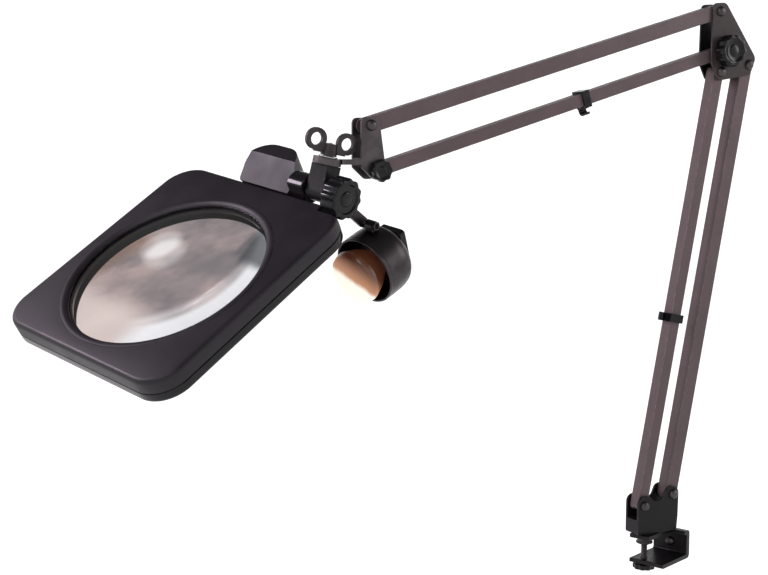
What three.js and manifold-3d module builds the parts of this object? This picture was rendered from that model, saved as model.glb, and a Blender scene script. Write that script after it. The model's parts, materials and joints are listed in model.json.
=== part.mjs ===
// A bench magnifying lamp: a round lens in a rounded rectangular frame, a small reflector lamp beneath it,
// and a balanced arm of four parallel square tubes that stands in a screw clamp on a table edge.
// Millimetres, +Z up. The origin is the middle of the upper jaw's underside, on the arm's swivel axis.
// The arm lies in the XZ plane and reaches towards -X, over the table.

import * as THREE from "three";
import { mergeVertices } from "three/addons/utils/BufferGeometryUtils.js";
import Module from "manifold-3d";

// ---------------------------------------------------------------- driving dimensions

const GAP = 0.3; // play between pieces that touch
const PIN_R = 2; // radius of every pivot bolt

const CLAMP_TURN = 20; // degrees that the clamp's mouth is turned from the arm
const JAW = { front: -16.5, back: 21.5, near: -19.5, far: 8, upperNear: -8, plate: 3, opening: 15, web: 4 };
const SCREW = { x: -9.5, r: 2.3, foot: 6, footHigh: 2.4, footTop: -2.4, knob: 8, knobHigh: 3.6 };
const POST = { r: 4, height: 12 };

const FORK = { left: -18, right: 18.5, depth: 14, slot: 10.8, floor: 14, top: 35 };
const BASE_FRONT = new THREE.Vector2(-12, 24); // pivots in the XZ plane
const BASE_LINK = new THREE.Vector2(26, 6); // from the front pivot to the rear pivot
const LOWER = { length: 317, lean: 11.3 }; // lean is from the vertical, towards +X
const ELBOW_RISE = new THREE.Vector2(-1.9, 42.6); // from the lower front pivot to the upper top pivot
const HEAD_LINK = new THREE.Vector2(5.5, -28); // from a top pivot to the bottom pivot under it
const UPPER = { length: 294, droop: 16.6 }; // droop is below the horizontal, towards -X
const THIN = { w: 8.5, h: 8.5 }; // square tubes, with the balance springs in the thick ones
const THICK = { w: 10, h: 10 };
const TUBE_WALL = 0.8;
const PLATE = 1.5; // elbow plate and head cheek

const STEM_FOOT = new THREE.Vector2(-27.2, -22); // middle of the head bracket's ring, from the top pivot
const STEM = { r: 3, ring: 9, ringHigh: 4, lean: 10, cant: 7.7 }; // degrees of lean to +X and cant to -Y
const HINGE_DROP = 19.5; // from the ring down to the tilt axis
const HEAD_TURN = 19.9; // degrees of swivel at rest
const HEAD_TILT = -41.8; // degrees of tilt at rest
const WING = { reach: 10.6, outer: 6.9, inner: 4, thick: 3 };
const KNUCKLE = { r: 6.2, long: 14, collar: 1.2 };
const TILT_KNOB = { r: 13, thick: 12 };
const AXLE_R = 3;

const FRAME = { length: 165, width: 155, corner: 21, thick: 17, upper: 10, bevel: 2.5, wall: 2.2 };
const LENS = { r: 63.5, shift: -4.8, seat: 65.6, dome: 5.6, edge: 2.4, sink: 2.2, sides: 40 };
const HINGE = { x: 94.3, y: -46.9, z: 1.9 }; // tilt axis at the stem, from the lens centre on the frame's top
const HOUSING = { right: -25, left: 21, reach: 27, high: 13.5, foot: 0.8, slope: 38 }; // slope in degrees
const BARREL = { r: 9.5, near: -39 };

const LAMP_ARM = { thick: 2.3, half: 3.4 };
const LAMP_PIN = new THREE.Vector3(33.5, -17, -14.2); // lamp's tilt pin, from the tilt axis at the stem
const LAMP = { r: 23, depth: 26, wall: 1.4, pitch: -34, rim: -14.6, drop: -26.5, lug: 6, pin: 1.6 };
const CAP = { wide: 20, high: 24, deep: 6, rise: 3 };

const rad = THREE.MathUtils.degToRad;

// ---------------------------------------------------------------- finishes

function finish(color, roughness, metalness) {
  return { color, roughness, metalness };
}
const PAINT = finish(0x3a3336, 0.45, 0.5);
const TUBE = finish(0x5f5254, 0.42, 0.6);
const STEEL = finish(0x8d8a8c, 0.35, 0.9);
const DARK_STEEL = finish(0x3c3a3c, 0.4, 0.8);
const PLASTIC = finish(0x1a191c, 0.35, 0.0);
const SATIN = finish(0x2b262c, 0.5, 0.0);
const GLASS = finish(0xe9eef0, 0.03, 0.0);
const BULB = finish(0xfff1d6, 0.3, 0.0);
const BRASS = finish(0x9c8450, 0.35, 0.9);

// ---------------------------------------------------------------- shape helpers

const wasm = await Module();
wasm.setup();

function solid(geometry) {
  const bare = geometry.clone();
  bare.deleteAttribute("normal");
  bare.deleteAttribute("uv");
  const merged = mergeVertices(bare, 1e-3);
  return new wasm.Manifold(
    new wasm.Mesh({
      numProp: 3,
      vertProperties: new Float32Array(merged.attributes.position.array),
      triVerts: new Uint32Array(merged.index.array),
    }),
  );
}

function toGeometry(manifold) {
  const mesh = manifold.getMesh();
  const geometry = new THREE.BufferGeometry();
  geometry.setAttribute("position", new THREE.BufferAttribute(new Float32Array(mesh.vertProperties), 3));
  geometry.setIndex(new THREE.BufferAttribute(new Uint32Array(mesh.triVerts), 1));
  geometry.computeVertexNormals();
  return geometry;
}

function join(...geometries) {
  return toGeometry(geometries.map(solid).reduce((all, next) => all.add(next)));
}

function cut(geometry, ...tools) {
  return toGeometry(tools.map(solid).reduce((left, tool) => left.subtract(tool), solid(geometry)));
}

function box(w, d, h, x = 0, y = 0, z = 0) {
  return new THREE.BoxGeometry(w, d, h).translate(x, y, z);
}

// A round bar along X, Y or Z, centred on the point given.
function rod(radius, length, axis, x = 0, y = 0, z = 0, sides = 16) {
  const bar = new THREE.CylinderGeometry(radius, radius, length, sides);
  if (axis === "x") bar.rotateZ(-Math.PI / 2);
  if (axis === "z") bar.rotateX(Math.PI / 2);
  return bar.translate(x, y, z);
}

// A turned piece about Z: the profile's points are radius and height, closed on the axis.
function turned(profile, sides = 24) {
  const points = profile.map(([r, z]) => new THREE.Vector2(r, z));
  return new THREE.LatheGeometry(points, sides).rotateX(Math.PI / 2);
}

// An outline with each corner rounded by its own radius; corners are [x, y, radius], anticlockwise.
function outline(corners) {
  const shape = new THREE.Shape();
  corners.forEach(([x, y, r], i) => {
    const corner = new THREE.Vector2(x, y);
    const before = new THREE.Vector2(...corners[(i + corners.length - 1) % corners.length]);
    const after = new THREE.Vector2(...corners[(i + 1) % corners.length]);
    const toBefore = before.sub(corner).normalize();
    const toAfter = after.sub(corner).normalize();
    const half = Math.acos(THREE.MathUtils.clamp(toBefore.dot(toAfter), -1, 1)) / 2;
    const run = r / Math.tan(half);
    const start = corner.clone().addScaledVector(toBefore, run);
    const end = corner.clone().addScaledVector(toAfter, run);
    if (i === 0) shape.moveTo(start.x, start.y);
    else shape.lineTo(start.x, start.y);
    const middle = toBefore.clone().add(toAfter).normalize();
    const centre = corner.clone().addScaledVector(middle, r / Math.sin(half));
    const from = Math.atan2(start.y - centre.y, start.x - centre.x);
    const to = Math.atan2(end.y - centre.y, end.x - centre.x);
    if (r > 0) shape.absarc(centre.x, centre.y, r, from, to, toBefore.cross(toAfter) > 0);
  });
  shape.closePath();
  return shape;
}

function hole(x, y, r) {
  return new THREE.Path().absarc(x, y, r, 0, 2 * Math.PI, true);
}

// A plate cut from a shape drawn in the XZ plane, from y down to y - thick.
function plateXZ(shape, thick, y, curveSegments = 3) {
  const plate = new THREE.ExtrudeGeometry(shape, { depth: thick, bevelEnabled: false, curveSegments });
  return plate.rotateX(Math.PI / 2).translate(0, y, 0);
}

function slab(shape, thick, z, curveSegments = 4) {
  const options = { depth: thick, bevelEnabled: false, curveSegments };
  return new THREE.ExtrudeGeometry(shape, options).translate(0, 0, z);
}

function along(curve, shape, steps) {
  return new THREE.ExtrudeGeometry(shape, { steps, extrudePath: curve, bevelEnabled: false });
}

function polygon(radius, sides) {
  const shape = new THREE.Shape();
  for (let i = 0; i < sides; i += 1) {
    const a = (2 * Math.PI * i) / sides;
    if (i === 0) shape.moveTo(radius * Math.cos(a), radius * Math.sin(a));
    else shape.lineTo(radius * Math.cos(a), radius * Math.sin(a));
  }
  shape.closePath();
  return shape;
}

// A round grip with finger flutes, its axis on Z, standing on z = 0.
function flutedKnob(radius, thick, flutes, depth) {
  const shape = new THREE.Shape();
  const steps = flutes * 3;
  for (let i = 0; i < steps; i += 1) {
    const a = (2 * Math.PI * i) / steps;
    const r = radius - (depth / 2) * (1 - Math.cos(flutes * a));
    if (i === 0) shape.moveTo(r * Math.cos(a), r * Math.sin(a));
    else shape.lineTo(r * Math.cos(a), r * Math.sin(a));
  }
  shape.closePath();
  const bevel = thick * 0.16;
  return new THREE.ExtrudeGeometry(shape, {
    depth: thick - 2 * bevel,
    bevelThickness: bevel,
    bevelSize: bevel,
    bevelOffset: -bevel,
    bevelSegments: 1,
  }).translate(0, 0, bevel);
}

const lamp = new THREE.Group();

function add(parent, name, geometry, look) {
  const mesh = new THREE.Mesh(geometry, new THREE.MeshStandardMaterial(look));
  mesh.name = name;
  parent.add(mesh);
  return mesh;
}

// ---------------------------------------------------------------- table clamp

const clamp = new THREE.Group();
clamp.rotation.z = rad(CLAMP_TURN);
lamp.add(clamp);

function makeClamp() {
  const { front, back, near, far, upperNear, plate, opening, web } = JAW;
  const { footHigh, footTop, knobHigh } = SCREW;
  const ledge = 3; // stays beside the web where the near strip of the upper jaw is cut away
  const low = -opening - plate;
  const profile = outline([
    [front, low, 0.8],
    [back, low, 3],
    [back, plate, 3],
    [front, plate, 0.8],
    [front, 0, 0.8],
    [back - web, 0, 1.5],
    [back - web, -opening, 1.5],
    [front, -opening, 0.8],
  ]);
  const frame = cut(
    plateXZ(profile, far - near, far),
    box(back - web - front, 20, 2 * plate, (back - web + front) / 2 - ledge, upperNear - 10, plate),
    rod(SCREW.r + GAP, 3 * plate, "z", SCREW.x, 0, -opening - plate / 2),
    rod(POST.r + GAP, 1.4, "z", 0, 0, plate - 0.5),
  );
  add(clamp, "clamp_frame", frame, PAINT);

  const head = turned([[0, 0], [3.4, 0], [3.1, 1.2], [1.8, 2], [0, 2.2]], 16);
  head.rotateY(-Math.PI / 2).translate(back - web - GAP, (near + far) / 2, -opening / 2);
  add(clamp, "web_rivet", head, STEEL);

  const knobTop = low - 1;
  const rodTop = footTop - footHigh - GAP;
  const rodLow = knobTop - knobHigh + GAP;
  const screwLong = rodTop - rodLow;
  add(clamp, "clamp_screw", rod(SCREW.r, screwLong, "z", SCREW.x, 0, (rodTop + rodLow) / 2), STEEL);
  const foot = turned([[0, 0], [3.4, 0], [SCREW.foot, 1.2], [SCREW.foot, footHigh], [0, footHigh]], 20);
  add(clamp, "pressure_foot", foot.translate(SCREW.x, 0, footTop - footHigh), DARK_STEEL);
  const knob = flutedKnob(SCREW.knob, knobHigh, 9, 1).translate(SCREW.x, 0, knobTop - knobHigh);
  const bored = cut(knob, rod(SCREW.r + GAP, 10, "z", SCREW.x, 0, knobTop));
  add(clamp, "clamp_thumb_knob", bored, PLASTIC);
}

// ---------------------------------------------------------------- pivots shared by the arm

// Where the arm's pivots lie in the XZ plane at rest.
const lowerReach = new THREE.Vector2(Math.sin(rad(LOWER.lean)), Math.cos(rad(LOWER.lean)));
const upperReach = new THREE.Vector2(-Math.cos(rad(UPPER.droop)), -Math.sin(rad(UPPER.droop)));
const baseRear = BASE_FRONT.clone().add(BASE_LINK);
const elbowFront = BASE_FRONT.clone().addScaledVector(lowerReach, LOWER.length);
const elbowRear = baseRear.clone().addScaledVector(lowerReach, LOWER.length);
const elbowTop = elbowFront.clone().add(ELBOW_RISE);
const elbowBottom = elbowTop.clone().add(HEAD_LINK);
const headTop = elbowTop.clone().addScaledVector(upperReach, UPPER.length);
const headBottom = headTop.clone().add(HEAD_LINK);

// A pivot rivet along Y, with a domed head on each side of a joint that is 2 * halfSpan wide.
function pivotRivet(name, at, halfSpan) {
  const heads = [-1, 1].map((side) =>
    turned([[0, 0], [3.6, 0], [3.1, 1.5], [0, 2.3]], 14)
      .rotateX((-side * Math.PI) / 2)
      .translate(0, side * (halfSpan + GAP), 0),
  );
  const rivet = join(rod(PIN_R, 2 * halfSpan + 1.5, "y", 0, 0, 0, 12), ...heads);
  add(lamp, name, rivet.translate(at.x, 0, at.y), STEEL);
}

// ---------------------------------------------------------------- base fork

function makeBase() {
  const { left, right, depth, slot, floor, top } = FORK;
  const bottom = JAW.plate + GAP;
  const side = outline([
    [left, bottom, 1.5],
    [right - 1, bottom, 1.5],
    [right, floor, 4],
    [right + 0.5, top + 1, 6],
    [8, top + 1, 5],
    [4, top - 8, 5],
    [-4, top - 9, 5],
    [-7, top - 4, 4],
    [left, top - 4, 5.5],
  ]);
  const post = rod(POST.r + GAP, POST.height + 0.6, "z", 0, 0, bottom + POST.height / 2);
  const fork = cut(
    plateXZ(side, depth, depth / 2),
    box(60, slot, 60, 0, 0, floor + 30),
    post.clone(),
    rod(PIN_R + GAP, 30, "y", BASE_FRONT.x, 0, BASE_FRONT.y),
    rod(PIN_R + GAP, 30, "y", baseRear.x, 0, baseRear.y),
  );
  add(lamp, "base_fork", fork, PAINT);

  const { r, height } = POST;
  const pin = turned([[0, 0], [r, 0], [r, height - 1], [r - 1, height], [0, height]], 16);
  add(lamp, "swivel_post", pin.translate(0, 0, JAW.plate - 1 + GAP / 2), STEEL);
  pivotRivet("base_front_rivet", BASE_FRONT, depth / 2);
  pivotRivet("base_rear_rivet", baseRear, depth / 2);
}

// ---------------------------------------------------------------- arm tubes

// A square tube between two pivots, round at both ends, open from end to end.
function tube(name, from, to, size) {
  const length = from.distanceTo(to);
  const angle = Math.atan2(to.y - from.y, to.x - from.x);
  const r = size.h / 2;
  const side = new THREE.Shape();
  side.absarc(0, 0, r, Math.PI / 2, (3 * Math.PI) / 2, false);
  side.absarc(length, 0, r, -Math.PI / 2, Math.PI / 2, false);
  side.closePath();
  const inner = 2 * (r - TUBE_WALL);
  const bar = cut(
    plateXZ(side, size.w, size.w / 2, 5),
    box(length + 40, size.w - 2 * TUBE_WALL, inner, length / 2, 0, 0),
    rod(PIN_R + GAP, 30, "y", 0, 0, 0, 12),
    rod(PIN_R + GAP, 30, "y", length, 0, 0, 12),
  );
  bar.rotateY(-angle).translate(from.x, 0, from.y);
  add(lamp, name, bar, TUBE);
}

class Coil extends THREE.Curve {
  constructor(radius, turns, length) {
    super();
    Object.assign(this, { radius, turns, length });
  }
  getPoint(t, target = new THREE.Vector3()) {
    const a = 2 * Math.PI * this.turns * t;
    return target.set(this.length * t, this.radius * Math.cos(a), this.radius * Math.sin(a));
  }
}

// A balance spring inside a thick tube, and the wire that ties it to the tube's first pivot.
function balanceSpring(name, from, to, start) {
  const angle = Math.atan2(to.y - from.y, to.x - from.x);
  const spring = along(new Coil(2.9, 10, 70), polygon(0.55, 4), 10 * 7);
  spring.translate(start, 0, 0).rotateY(-angle).translate(from.x, 0, from.y);
  add(lamp, `${name}_spring`, spring, STEEL);
  const wireLong = start - 8;
  const wire = rod(0.6, wireLong, "x", 5 + wireLong / 2, 0, 0, 6);
  wire.rotateY(-angle).translate(from.x, 0, from.y);
  add(lamp, `${name}_spring_wire`, wire, STEEL);
}

// A moulded clip round a tube, with an open ear that holds a lead.
function cableClip(name, from, to, distance, size, earSide, earReach) {
  const angle = Math.atan2(to.y - from.y, to.x - from.x);
  const w = size.w + 2 * GAP;
  const h = size.h + 2 * GAP;
  const band = 1.3;
  const body = cut(box(6, w + 2 * band, h + 2 * band), box(10, w, h));
  const earAt = earSide * (h / 2 + band + earReach);
  const ear = cut(
    join(body, rod(3.2, 6, "x", 0, 0, earAt), box(6, 3, earReach, 0, 0, earAt - (earSide * earReach) / 2)),
    rod(1.9, 20, "x", 0, 0, earAt, 12),
    box(10, 3, 6, 0, -3, earAt),
    box(10, w, h),
  );
  ear.translate(distance, 0, 0).rotateY(-angle).translate(from.x, 0, from.y);
  add(lamp, name, ear, PLASTIC);
}

function makeArm() {
  tube("lower_front_tube", BASE_FRONT, elbowFront, THIN);
  tube("lower_rear_tube", baseRear, elbowRear, THICK);
  balanceSpring("lower", baseRear, elbowRear, 60);
  cableClip("lower_cable_clip", BASE_FRONT, elbowFront, 137, THIN, 1, 2.6);
  tube("upper_top_tube", elbowTop, headTop, THICK);
  balanceSpring("upper", elbowTop, headTop, 60);
  tube("upper_bottom_tube", elbowBottom, headBottom, THIN);
  cableClip("upper_cable_clip", elbowBottom, headBottom, 127, THIN, 1, 2.2);
}

// ---------------------------------------------------------------- elbow

function makeElbow() {
  const half = THICK.w / 2 + 0.4;
  const at = elbowTop;
  const corners = outline([
    [at.x - 7, at.y + 5.5, 4],
    [at.x - 8, at.y - 36, 5],
    [elbowFront.x - 3, elbowFront.y - 6.5, 5],
    [elbowRear.x + 1.5, elbowRear.y - 7.5, 5],
    [elbowRear.x + 6.5, elbowRear.y + 5, 5],
    [at.x + 5, at.y + 6.5, 5],
  ]);
  for (const pivot of [elbowTop, elbowBottom, elbowFront, elbowRear]) {
    corners.holes.push(hole(pivot.x, pivot.y, PIN_R + GAP));
  }
  add(lamp, "elbow_plate_near", plateXZ(corners, PLATE, -half), PAINT);
  add(lamp, "elbow_plate_far", plateXZ(corners, PLATE, half + PLATE), PAINT);

  const spacer = rod(3.4, 2 * half - 2 * GAP, "y", at.x + 17, 0, at.y - 24, 16);
  add(lamp, "elbow_spacer", spacer, DARK_STEEL);
  pivotRivet("elbow_top_rivet", elbowTop, half + PLATE);
  pivotRivet("elbow_front_rivet", elbowFront, half + PLATE);
  pivotRivet("elbow_rear_rivet", elbowRear, half + PLATE);

  const span = half + PLATE;
  const shank = 2 * span + 9;
  const carriage = join(
    rod(PIN_R, shank, "y", 0, -2.5, 0, 16),
    turned([[0, 0], [4.2, 0], [4, 1.4], [2.6, 2.3], [0, 2.5]], 16)
      .rotateX(-Math.PI / 2)
      .translate(0, span + GAP, 0),
  );
  add(lamp, "elbow_friction_bolt", carriage.translate(elbowBottom.x, 0, elbowBottom.y), STEEL);
  const knob = cut(
    flutedKnob(11.5, 9, 10, 1.4).rotateX(Math.PI / 2),
    rod(PIN_R + 0.15, 14, "y", 0, 0, 0, 16),
  );
  knob.translate(elbowBottom.x, -span - GAP, elbowBottom.y);
  add(lamp, "elbow_knob", knob, PLASTIC);
}

// ---------------------------------------------------------------- head bracket

const stem = new THREE.Group();
stem.position.set(headTop.x + STEM_FOOT.x, 0, headTop.y + STEM_FOOT.y);
stem.rotation.set(rad(STEM.cant), rad(STEM.lean), 0);
stem.updateMatrix();
lamp.add(stem);

function makeHeadBracket() {
  const half = THICK.w / 2 + 0.4;
  const cheek = outline([
    [headTop.x - 7, headTop.y + 5, 3.5],
    [headTop.x - 7, headTop.y - 26, 2],
    [headBottom.x - 4, headBottom.y - 5.5, 4],
    [headBottom.x + 5.5, headBottom.y - 5, 5],
    [headTop.x + 5.5, headTop.y + 5, 5],
  ]);
  cheek.holes.push(hole(headTop.x, headTop.y, PIN_R + GAP));
  cheek.holes.push(hole(headBottom.x, headBottom.y, PIN_R + GAP));
  const near = plateXZ(cheek, PLATE, -half);
  const far = plateXZ(cheek, PLATE, half + PLATE);
  const ring = rod(STEM.ring, STEM.ringHigh, "z", 0, 0, 0, 24).applyMatrix4(stem.matrix);
  const barEnd = headTop.x - 5;
  const barStart = stem.position.x + STEM.ring - 2;
  const bar = box(barEnd - barStart, 2 * (half + PLATE), 3.4, (barEnd + barStart) / 2, 0, headTop.y - 22.6);
  const bridge = box(3, 2 * (half + PLATE), 5, headTop.x - 5.5, 0, headTop.y - 22.6);
  const bore = rod(STEM.r + GAP, 40, "z").applyMatrix4(stem.matrix);
  add(lamp, "head_bracket", cut(join(near, far, ring, bar, bridge), bore), STEEL);

  pivotRivet("head_top_rivet", headTop, half + PLATE);
  const span = half + PLATE;
  const bolt = join(
    rod(PIN_R, 2 * span + 6, "y", 0, -1.2, 0, 16),
    turned([[0, 0], [3.8, 0], [3.6, 1.4], [2.2, 2.3], [0, 2.5]], 16)
      .rotateX(-Math.PI / 2)
      .translate(0, span + GAP, 0),
  );
  add(lamp, "head_bottom_bolt", bolt.translate(headBottom.x, 0, headBottom.y), STEEL);
  const disc = cut(
    flutedKnob(7.2, 5, 8, 0.8).rotateX(Math.PI / 2),
    rod(PIN_R + 0.15, 8.2, "y", 0, 0, 0, 16),
  );
  add(lamp, "head_pivot_knob", disc.translate(headBottom.x, -span - GAP, headBottom.y), PLASTIC);
}

function makeWingNut() {
  const top = STEM.ringHigh / 2 + GAP;
  const hub = turned([[0, 0], [5.2, 0], [5, 2], [4.2, 7], [0, 8]], 16).translate(0, 0, top + 1.2);
  const loops = [-1, 1].map((side) => rod(WING.outer, WING.thick, "y", side * WING.reach, 0, top + 10, 20));
  const foot = box(2 * WING.reach, WING.thick, 6, 0, 0, top + 5.4);
  const eyes = [-1, 1].map((side) => rod(WING.inner, 20, "y", side * WING.reach, 0, top + 10));
  const stemBore = rod(STEM.r + 0.15, 12, "z", 0, 0, top + 1.5);
  const nut = cut(join(hub, ...loops, foot), ...eyes, stemBore);
  add(stem, "wing_nut", nut, DARK_STEEL);
  const washer = cut(rod(6, 0.8, "z", 0, 0, top + 0.4), rod(STEM.r + GAP, 10, "z", 0, 0, top));
  add(stem, "stem_washer", washer, STEEL);
}

// ---------------------------------------------------------------- knuckle under the head bracket

const knuckle = new THREE.Group();
knuckle.rotation.z = rad(HEAD_TURN);
stem.add(knuckle);

function makeKnuckle() {
  const { r, long, collar } = KNUCKLE;
  const top = -STEM.ringHigh / 2 - GAP;
  const neck = box(2 * r - 0.4, long, top + HINGE_DROP, 0, 0, (top - HINGE_DROP) / 2);
  const eye = rod(r, long, "y", 0, 0, -HINGE_DROP, 20);
  const post = rod(STEM.r, 13, "z", 0, 0, top + 4.5);
  const axleHole = rod(AXLE_R + GAP, 40, "y", 0, 0, -HINGE_DROP);
  add(knuckle, "knuckle_block", cut(join(neck, eye, post), axleHole), STEEL);

  const collarAt = -long / 2 - GAP - collar / 2;
  const washer = cut(
    rod(r, collar, "y", 0, collarAt, -HINGE_DROP),
    rod(AXLE_R + GAP, 20, "y", 0, 0, -HINGE_DROP),
  );
  add(knuckle, "friction_washer", washer, DARK_STEEL);
  const knobFace = collarAt - collar / 2 - LAMP_ARM.thick - 2 * GAP;
  const knob = flutedKnob(TILT_KNOB.r, TILT_KNOB.thick, 12, 1.2).rotateX(Math.PI / 2);
  const bore = rod(AXLE_R + 0.15, 16, "y");
  add(knuckle, "tilt_knob", cut(knob, bore).translate(0, knobFace, -HINGE_DROP), PLASTIC);
}

// ---------------------------------------------------------------- magnifier

// Its own frame: the origin is the lens centre on the frame's top face, +X runs towards the hinge.
const magnifier = new THREE.Group();
magnifier.position.z = -HINGE_DROP;
magnifier.rotation.y = rad(HEAD_TILT);
knuckle.add(magnifier);
const panel = new THREE.Group();
panel.position.set(-HINGE.x, -HINGE.y, -HINGE.z);
magnifier.add(panel);

function panelOutline(inset) {
  const x0 = -FRAME.length / 2 - LENS.shift + inset;
  const x1 = FRAME.length / 2 - LENS.shift - inset;
  const y = FRAME.width / 2 - inset;
  const r = FRAME.corner - inset;
  return outline([[x0, -y, r], [x1, -y, r], [x1, y, r], [x0, y, r]]);
}

function makeMagnifier() {
  const { thick, upper, bevel, wall } = FRAME;
  const blank = new THREE.ExtrudeGeometry(panelOutline(0), {
    depth: thick - 2 * bevel,
    bevelThickness: bevel,
    bevelSize: bevel,
    bevelOffset: -bevel,
    bevelSegments: 1,
    curveSegments: 4,
  }).translate(0, 0, bevel - thick);
  const lensBore = (r, high, z) => rod(r, high, "z", 0, 0, z, LENS.sides);
  const split = -upper;
  const tall = (z0, z1) => slab(panelOutline(-10), z1 - z0, z0);
  const ringWall = (z0, z1) => {
    const shape = panelOutline(wall);
    shape.holes.push(hole(0, 0, LENS.seat + wall));
    return slab(shape, z1 - z0, z0, 10);
  };
  const knobRoom = rod(TILT_KNOB.r + 1, 22, "y", HINGE.x, HINGE.y - KNUCKLE.long / 2 - 1 - 11, HINGE.z, 24);
  const upperShell = cut(
    blank,
    tall(-thick - 1, split + GAP / 2),
    ringWall(-thick, -wall),
    lensBore(LENS.r, 60, 0),
    lensBore(LENS.seat, 40, -LENS.sink - 20),
    knobRoom,
  );
  add(panel, "magnifier_upper_shell", upperShell, SATIN);
  const lowerShell = cut(
    blank,
    tall(split - GAP / 2, 10),
    ringWall(-thick + wall, 10),
    lensBore(LENS.r - 1.5, 60, 0),
    lensBore(LENS.seat, 40, -thick + wall + 20),
    knobRoom,
  );
  add(panel, "magnifier_lower_shell", lowerShell, PLASTIC);

  const rise = LENS.dome;
  const edgeTop = -LENS.sink - GAP;
  const edgeLow = edgeTop - LENS.edge;
  const rings = 4;
  const profile = [];
  for (let i = 0; i <= rings; i += 1) {
    const r = (LENS.seat - GAP) * (i / rings);
    profile.push([r, edgeLow - rise * (1 - (i / rings) ** 2)]);
  }
  for (let i = rings; i >= 0; i -= 1) {
    const r = (LENS.seat - GAP) * (i / rings);
    profile.push([r, edgeTop + rise * (1 - (i / rings) ** 2)]);
  }
  add(panel, "lens", turned(profile, LENS.sides), GLASS);

  const ringTop = edgeLow - 1;
  const ring = cut(
    rod(LENS.seat - GAP, 3.4, "z", 0, 0, ringTop - 1.7, LENS.sides),
    rod(LENS.r - 1.5, 20, "z", 0, 0, ringTop, LENS.sides),
  );
  add(panel, "lens_retaining_ring", ring, PLASTIC);

  const x0 = -FRAME.length / 2 - LENS.shift;
  const x1 = FRAME.length / 2 - LENS.shift;
  const inset = 12;
  const corners = [[x0, -1], [x1, -1], [x1, 1], [x0, 1]];
  corners.forEach(([x, side], i) => {
    const screw = turned([[0, 0], [3, 0], [3, 1], [1.4, 2.2], [0, 2.2]], 12).rotateX(Math.PI);
    const at = [x - Math.sign(x) * inset, side * (FRAME.width / 2 - inset), -thick - GAP];
    add(panel, `shell_screw_${i + 1}`, screw.translate(...at), STEEL);
  });

  const edge = x1 - 1.5;
  const housingShape = outline([
    [edge + GAP, HOUSING.right, 1.5],
    [edge + 10, HOUSING.right, 5],
    [edge + HOUSING.reach, HOUSING.right + 9, 14],
    [edge + HOUSING.reach, HOUSING.left - 6, 16],
    [edge + 10, HOUSING.left, 6],
    [edge + GAP, HOUSING.left, 1.5],
  ]);
  const aboveSlope = box(60, 80, 30, 10, -2, 15).rotateY(-rad(HOUSING.slope));
  const housing = cut(
    slab(housingShape, HOUSING.high + thick - 3, -thick + 3, 4),
    tallBlock(edge),
    aboveSlope.translate(edge, 0, HOUSING.foot),
    rod(AXLE_R + GAP, 200, "y", HINGE.x, 0, HINGE.z),
  );
  add(panel, "hinge_housing", housing, PLASTIC);
  const barrelLong = HOUSING.right - GAP - BARREL.near;
  const barrelAt = BARREL.near + barrelLong / 2;
  const barrel = cut(
    rod(BARREL.r, barrelLong, "y", HINGE.x, barrelAt, HINGE.z, 24),
    rod(AXLE_R + GAP, 60, "y", HINGE.x, barrelAt, HINGE.z),
    box(60, 60, 60, x1 - 30 + GAP, barrelAt, 0),
  );
  add(panel, "hinge_barrel", barrel, PLASTIC);
  const axleFrom = HINGE.y - KNUCKLE.long / 2 - 11;
  const axleTo = HOUSING.left - 6;
  const axle = rod(AXLE_R, axleTo - axleFrom, "y", HINGE.x, (axleTo + axleFrom) / 2, HINGE.z);
  add(panel, "tilt_axle", axle, STEEL);
}

// What the frame's own edge takes out of the hinge housing, so that the housing hugs it.
function tallBlock(edge) {
  return box(40, 200, 40, edge + 1.5 + GAP - 20, 0, -20 + GAP);
}

// ---------------------------------------------------------------- reflector lamp

const spot = new THREE.Group();
spot.position.set(LAMP_PIN.x, LAMP_PIN.y, LAMP_PIN.z - HINGE_DROP);
spot.rotation.y = rad(LAMP.pitch);
knuckle.add(spot);

// The flat bar that carries the lamp, clamped on the tilt axle beside the knob.
function makeLampArm() {
  const near = -KNUCKLE.long / 2 - 2 * GAP - KNUCKLE.collar;
  const length = Math.hypot(LAMP_PIN.x, LAMP_PIN.z);
  const { thick, half } = LAMP_ARM;
  const bar = cut(
    join(
      rod(KNUCKLE.r, thick, "y", 0, 0, 0, 20),
      box(length, thick, 2 * half, length / 2, 0, 0),
      rod(half, thick, "y", length, 0, 0),
    ),
    rod(AXLE_R + GAP, 20, "y"),
    rod(LAMP.pin + GAP, 20, "y", length, 0, 0, 12),
  );
  bar.rotateY(Math.atan2(-LAMP_PIN.z, LAMP_PIN.x)).translate(0, near - thick / 2, -HINGE_DROP);
  add(knuckle, "lamp_arm", bar, STEEL);

  const farEnd = near - LAMP_PIN.y;
  const pin = join(
    rod(LAMP.pin, farEnd + LAMP.lug / 2 + 2.4, "y", 0, (farEnd - LAMP.lug / 2 + 2.4) / 2, 0, 12),
    rod(3, 1.6, "y", 0, farEnd + GAP + 0.8, 0, 16),
  );
  add(spot, "lamp_tilt_pin", pin, STEEL);
  const nut = cut(
    rod(3, 1.8, "y", 0, -LAMP.lug / 2 - GAP - 0.9, 0, 6),
    rod(LAMP.pin + GAP / 2, 20, "y", 0, 0, 0, 12),
  );
  add(spot, "lamp_tilt_nut", nut, DARK_STEEL);
}

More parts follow.
